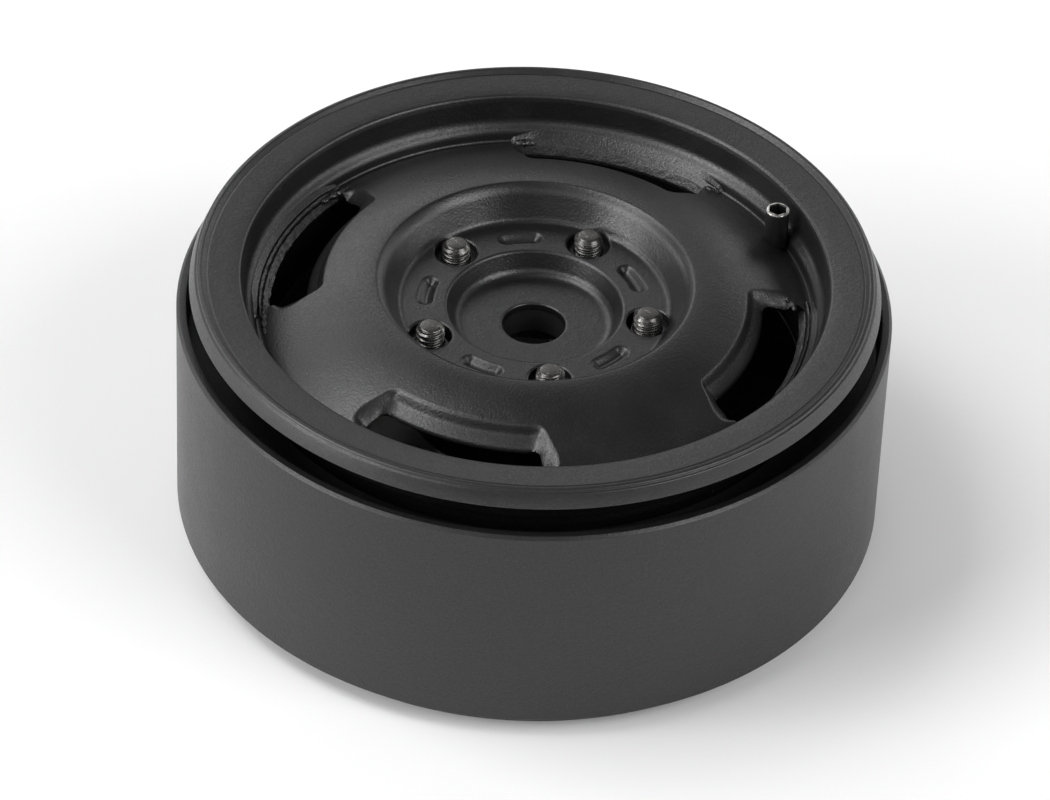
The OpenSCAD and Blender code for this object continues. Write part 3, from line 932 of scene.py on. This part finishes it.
def make_hub():
    rear_r, collar_z, core_r = HUB_R - 0.8, HUB_BOTTOM + HUB_COLLAR, 1.0
    outline = rounded([
        (0.0, HUB_BOTTOM, 0), (rear_r, HUB_BOTTOM, 0.3), (rear_r, collar_z, 0.2),
        (HUB_R, collar_z, 0.15), (HUB_R, HUB_FRONT, 0.15),
        (HUB_RECESS_R, HUB_FRONT, 0.08), (HUB_RECESS_R, FLOOR_Z - SHEET, 0.1), (0.0, FLOOR_Z - SHEET, 0),
    ])
    hub = revolve("wheel_hub_body", [(max(r, core_r), z) for r, z in outline], even_angles(192))
    cut(hub, prism("hole", circle_outline(0, 0, AXLE_R, 96), HUB_BOTTOM - 1, HUB_FRONT + 1))
    pocket = hexagon_outline(0, 0, HEX_FLATS, math.pi / 6)
    cut(hub, prism("hole", pocket, HUB_BOTTOM - 1, HUB_BOTTOM + HEX_DEPTH))
    tapped = circle_outline(STUD_CIRCLE, 0, 1.0, 40)
    tapped_bottom = box_mm(STUDS[0])[0].z - STUD_ROOM
    cut(hub, joined(stud_holes(tapped, tapped_bottom, HUB_FRONT + 1)))
    dress(hub, mat_hub, "wheel", "hub_black", "wheel_hub")


# ---------------------------------------------------------------- threaded parts

PITCH = 0.4
THREAD_DEPTH = 0.2
THREAD_STEP = 0.032


def thread_rows(z0, z1, crest, low_point, high_point):
    """Rows of a threaded shank: (z, function of angle giving the radius there). low_point and
    high_point are the (z, radius) that a 45 degree chamfer starts from, or None."""
    rows = []
    count = round((z1 - z0) / THREAD_STEP)
    for k in range(count + 1):
        z = z0 + (z1 - z0) * k / count

        def radius(angle, z=z):
            phase = ((z / PITCH) - angle / (2 * math.pi)) % 1.0
            flank = abs(phase - 0.5) * 2
            r = crest - THREAD_DEPTH * smoothstep(0.12, 0.86, flank)
            if high_point:
                r = min(r, high_point[1] + (high_point[0] - z))
            if low_point:
                r = min(r, low_point[1] + (z - low_point[0]))
            return r
        rows.append((z, radius))
    return rows


def lathe_rows(name, rows, x, y, steps=56, turn=0.0, smooth_angle=50):
    """A closed solid from rows of (z, radius or function of angle)."""
    verts, faces = [], []
    for z, radius in rows:
        for k in range(steps):
            a = 2 * math.pi * k / steps
            r = radius(a) if callable(radius) else radius
            verts.append((x + r * math.cos(a + turn), y + r * math.sin(a + turn), z))
    for row in range(len(rows) - 1):
        for k in range(steps):
            m = (k + 1) % steps
            faces.append((row * steps + k, row * steps + m, (row + 1) * steps + m, (row + 1) * steps + k))
    for base in (0, (len(rows) - 1) * steps):
        z = verts[base][2]
        verts.append((x, y, z))
        centre = len(verts) - 1
        faces += [(base + k, base + (k + 1) % steps, centre) for k in range(steps)]
    return new_object(name, verts, faces, smooth_angle)


def make_studs():
    for i, node in enumerate(STUDS):
        low, high = box_mm(node)
        x, y = (low.x + high.x) / 2, (low.y + high.y) / 2
        crest = (high.x - low.x) / 2 - STUD_ROOM
        rows = [(low.z, 0.55)]
        rows += thread_rows(low.z + 0.02, high.z - 0.03, crest, (low.z, 0.7), (high.z, 0.66))
        rows += [(high.z - 0.008, 0.63), (high.z, 0.58)]
        stud = lathe_rows(f"lug_stud_thread_{i + 1}", rows, x, y, turn=1.3 * i)
        dress(stud, mat_stud, "wheel", "stud_steel", node)


HEAD_R, HEAD_H, SHANK_R = 1.9, 2.0, 0.98        # a clamp screw's
SOCKET_FLATS, SOCKET_DEPTH = 1.5, 1.0


def knurl(angle, depth=0.05, teeth=28):
    return HEAD_R - depth * (0.5 - 0.5 * math.cos(angle * teeth))


def make_screws():
    for i, node in enumerate(SCREWS):
        low, high = box_mm(node)
        x, y = (low.x + high.x) / 2, (low.y + high.y) / 2
        seat = low.z + HEAD_H
        rows = [(low.z, HEAD_R - 0.3), (low.z + 0.05, HEAD_R - 0.17), (low.z + 0.17, HEAD_R - 0.06)]
        rows += [(low.z + 0.3 + 0.32 * k, knurl) for k in range(5)]
        rows += [(seat - 0.2, HEAD_R - 0.05), (seat - 0.06, HEAD_R - 0.06), (seat, HEAD_R - 0.14)]
        rows += [(seat, SHANK_R - 0.02)]
        rows += thread_rows(seat + 0.2, high.z - 0.03, SHANK_R, None, (high.z, 0.74))
        rows += [(high.z, 0.66)]
        screw = lathe_rows(f"clamp_screw_thread_{i + 1}", rows, x, y, steps=84, turn=0.7 * i)
        socket = hexagon_outline(x, y, SOCKET_FLATS, 0.4 * i)
        cut(screw, prism("hole", socket, low.z - 1, low.z + SOCKET_DEPTH), 40)
        dress(screw, mat_screw, "wheel", "screw_steel", node)


def make_valve():
    low, high = valve_low, valve_high
    neck_r, shoulder = 0.45, low.z + VALVE_NECK + VALVE_ROOM
    rows = [(low.z, 0.36), (low.z + 0.08, neck_r), (shoulder - 0.02, neck_r), (shoulder, 0.6),
            (shoulder + 0.06, VALVE_R - 0.03), (shoulder + 0.14, VALVE_R)]
    rows += [(shoulder + 0.3 + 0.27 * k, VALVE_R) for k in range(9)]
    rows += [(high.z - 0.12, VALVE_R), (high.z - 0.05, VALVE_R - 0.02), (high.z - 0.012, VALVE_R - 0.06),
             (high.z, VALVE_R - 0.1)]
    valve = lathe_rows("valve_stem_tube", rows, VALVE_X, 0, steps=64, smooth_angle=40)
    opening = hexagon_outline(VALVE_X, 0, 1.12, 0.0)
    cut(valve, prism("hole", opening, high.z - 1.6, high.z + 1), 40)
    dress(valve, mat_valve, "wheel", "valve_metal", "valve_stem")


# ---------------------------------------------------------------- stage, light and camera

VIEW_TURN = -27.2                # the camera's azimuth, from the valve stem's direction
CAMERA_BACK, CAMERA_UP = 303.1, 261.7
CAMERA_PITCH, CAMERA_ROLL, CAMERA_YAW = 39.865, 2.474, -0.068
LENS, SENSOR = 203.4, 36


def seen(x, y, z):
    """A point in mm, given across the view, away from the camera and up, as a place in metres."""
    a = math.radians(VIEW_TURN)
    return Vector((x * math.cos(a) - y * math.sin(a), x * math.sin(a) + y * math.cos(a), z)) * MM


def make_camera():
    data = bpy.data.cameras.new("camera")
    data.lens, data.sensor_width = LENS, SENSOR
    data.clip_start, data.clip_end = 0.01, 20
    camera = bpy.data.objects.new("camera", data)
    bpy.context.scene.collection.objects.link(camera)
    yaw, pitch, roll = (math.radians(v) for v in (CAMERA_YAW, CAMERA_PITCH, CAMERA_ROLL))
    forward = Vector((math.sin(yaw) * math.cos(pitch), math.cos(yaw) * math.cos(pitch), -math.sin(pitch)))
    right = Vector((math.cos(yaw), -math.sin(yaw), 0))
    up = right.cross(forward)
    across = right * math.cos(roll) + up * math.sin(roll)
    above = up * math.cos(roll) - right * math.sin(roll)
    turn = Matrix.Rotation(math.radians(VIEW_TURN), 4, "Z")
    pose = Matrix.Identity(4)
    for row in range(3):
        pose[row][0], pose[row][1], pose[row][2] = across[row], above[row], -forward[row]
    camera.matrix_world = Matrix.Translation(seen(0, -CAMERA_BACK, CAMERA_UP)) @ turn @ pose
    bpy.context.scene.camera = camera


# Softboxes by name: the direction they stand in, seen from the wheel (turn from the camera's right
# towards the wheel's far side, then elevation), the angles they span, and their power in watts
SOFTBOXES = {
    "left_key": (172, 58, 30, 26, 6.0),
    "left_front": (203, 24, 34, 34, 9.6),
    "left_low": (163, 9, 40, 14, 2.4),
    "front": (250, 38, 34, 20, 1.3),
    "right_front": (328, 36, 34, 34, 7.2),
    "right_low": (4, 11, 34, 16, 2.3),
    "back_left": (118, 31, 36, 26, 2.4),
    "back": (88, 34, 24, 22, 0.55),
    "back_right": (50, 17, 46, 26, 2.1),
}
SOFTBOX_DISTANCE = 1200
AIM_HEIGHT = 10
FLOOR_HALF = 3                   # in metres
WORLD_LIGHT = 0.09


def softbox(name, turn, elevation, wide, high, watts):
    turn, elevation = math.radians(turn), math.radians(elevation)
    data = bpy.data.lights.new(name, "AREA")
    data.shape, data.energy = "RECTANGLE", watts
    data.size = 2 * SOFTBOX_DISTANCE * math.tan(math.radians(wide / 2)) * MM
    data.size_y = 2 * SOFTBOX_DISTANCE * math.tan(math.radians(high / 2)) * MM
    lamp = bpy.data.objects.new(name, data)
    flat, up = SOFTBOX_DISTANCE * math.cos(elevation), SOFTBOX_DISTANCE * math.sin(elevation)
    lamp.location = seen(*polar(flat, turn), up)
    aim = Vector((0, 0, AIM_HEIGHT * MM)) - lamp.location
    lamp.rotation_euler = aim.to_track_quat("-Z", "Y").to_euler()
    lamp.visible_camera = False
    bpy.context.scene.collection.objects.link(lamp)


def make_stage():
    mesh = bpy.data.meshes.new("floor")
    corners = [(x * FLOOR_HALF, y * FLOOR_HALF, 0) for x, y in ((-1, -1), (1, -1), (1, 1), (-1, 1))]
    mesh.from_pydata(corners, [], [(0, 1, 2, 3)])
    floor = bpy.data.objects.new("floor", mesh)
    bpy.context.scene.collection.objects.link(floor)
    n = Nodes("floor_white")
    n.finish(n.mix(n.noise(60, 2.0), (0.93, 0.93, 0.93), (0.95, 0.95, 0.95)), 0.7, specular=0.2)
    mesh.materials.append(n.material)
    world = bpy.data.worlds.new("studio")
    bpy.context.scene.world = world
    world.use_nodes = True
    background = world.node_tree.nodes["Background"]
    background.inputs["Color"].default_value = (1, 1, 1, 1)
    background.inputs["Strength"].default_value = WORLD_LIGHT
    for name, setting in SOFTBOXES.items():
        softbox(name, *setting)
    bpy.context.scene.view_settings.view_transform = "Standard"


make_rims()
make_ring()
make_disc()
make_seam_paint()
make_joint()
make_hub()
make_studs()
make_screws()
make_valve()
make_stage()
make_camera()

bpy.context.view_layer.update()
